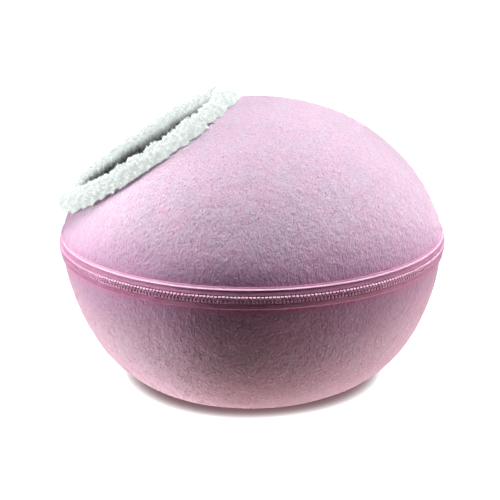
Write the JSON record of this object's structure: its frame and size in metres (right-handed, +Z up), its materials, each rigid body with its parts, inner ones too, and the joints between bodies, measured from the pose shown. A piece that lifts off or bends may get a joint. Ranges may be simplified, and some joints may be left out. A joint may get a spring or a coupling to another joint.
{
  "type": "felt pet cave",
  "caption": "Hollow felt pet bed: a domed felt shell zipped onto a felt bowl, with a round tilted mouth bound in plush.",
  "frame": {"origin": "on the floor under the centre of the cave", "axes": "+Z up; the mouth faces -Y and up; X runs across the mouth"},
  "size_m": [0.4394, 0.4394, 0.3295],
  "materials": {
    "felt": "matt felted wool with loose surface fibres",
    "plush": "deep curly pile",
    "tape": "satin woven tape",
    "zip_plastic": "moulded satin plastic"
  },
  "bodies": {
    "root": {"lower_bowl": "felt", "upper_dome": "felt", "mouth_trim": "plush", "zip_tape_upper": "tape", "zip_tape_lower": "tape", "zip_chain": "zip_plastic", "zip_slider": "zip_plastic", "zip_pull": "zip_plastic"}
  },
  "joints": []
}
